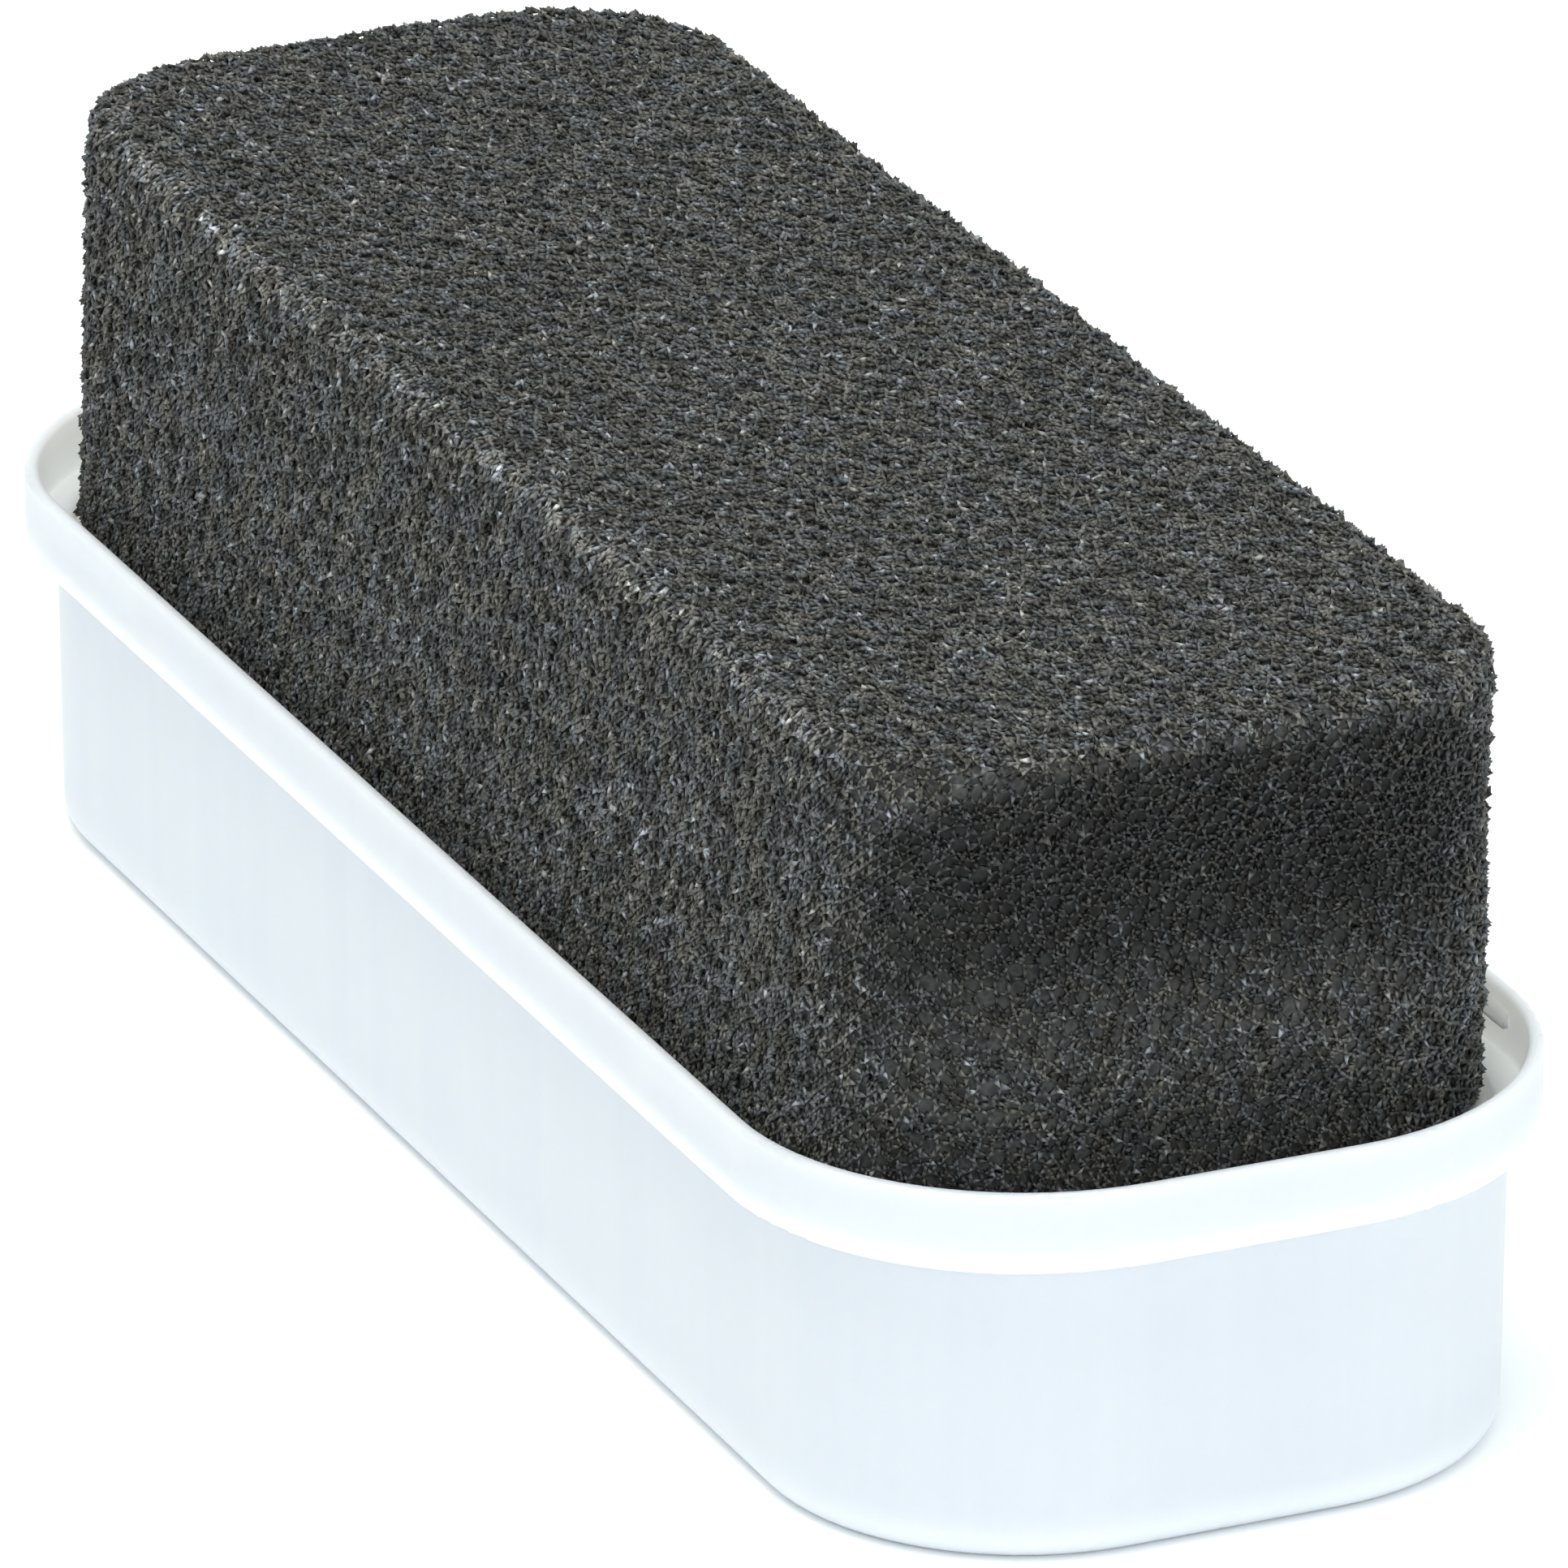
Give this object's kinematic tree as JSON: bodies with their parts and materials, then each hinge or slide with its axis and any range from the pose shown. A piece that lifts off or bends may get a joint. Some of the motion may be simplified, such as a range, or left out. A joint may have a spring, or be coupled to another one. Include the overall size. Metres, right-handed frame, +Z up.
{
  "type": "chalkboard eraser",
  "caption": "Block eraser: charcoal open-cell foam glued to a carrier plate that is pressed into a white rounded tray with a stepped rim band.",
  "frame": {"origin": "middle of the tray's flat underside, where the eraser stands", "axes": "+X along the eraser, +Y across it, +Z up through the foam's wiping face"},
  "size_m": [0.12, 0.0418, 0.0401],
  "materials": {
    "white_plastic": "satin moulded white",
    "plate_plastic": "matt moulded warm white",
    "adhesive": "cured hot-melt, translucent cream",
    "charcoal_foam": "open-cell foam, matt"
  },
  "bodies": {
    "holder": {"tray": "white_plastic", "carrier_plate": "plate_plastic", "adhesive_film": "adhesive"},
    "foam": {"foam_block": "charcoal_foam"}
  },
  "joints": [
    {"name": "foam_press", "type": "slide", "parent": "holder", "child": "foam", "axis": [0, 0, 1], "range_m": [-0.008, 0], "stiffness_N_per_m": 1650, "deforming": ["foam_block"]}
  ]
}
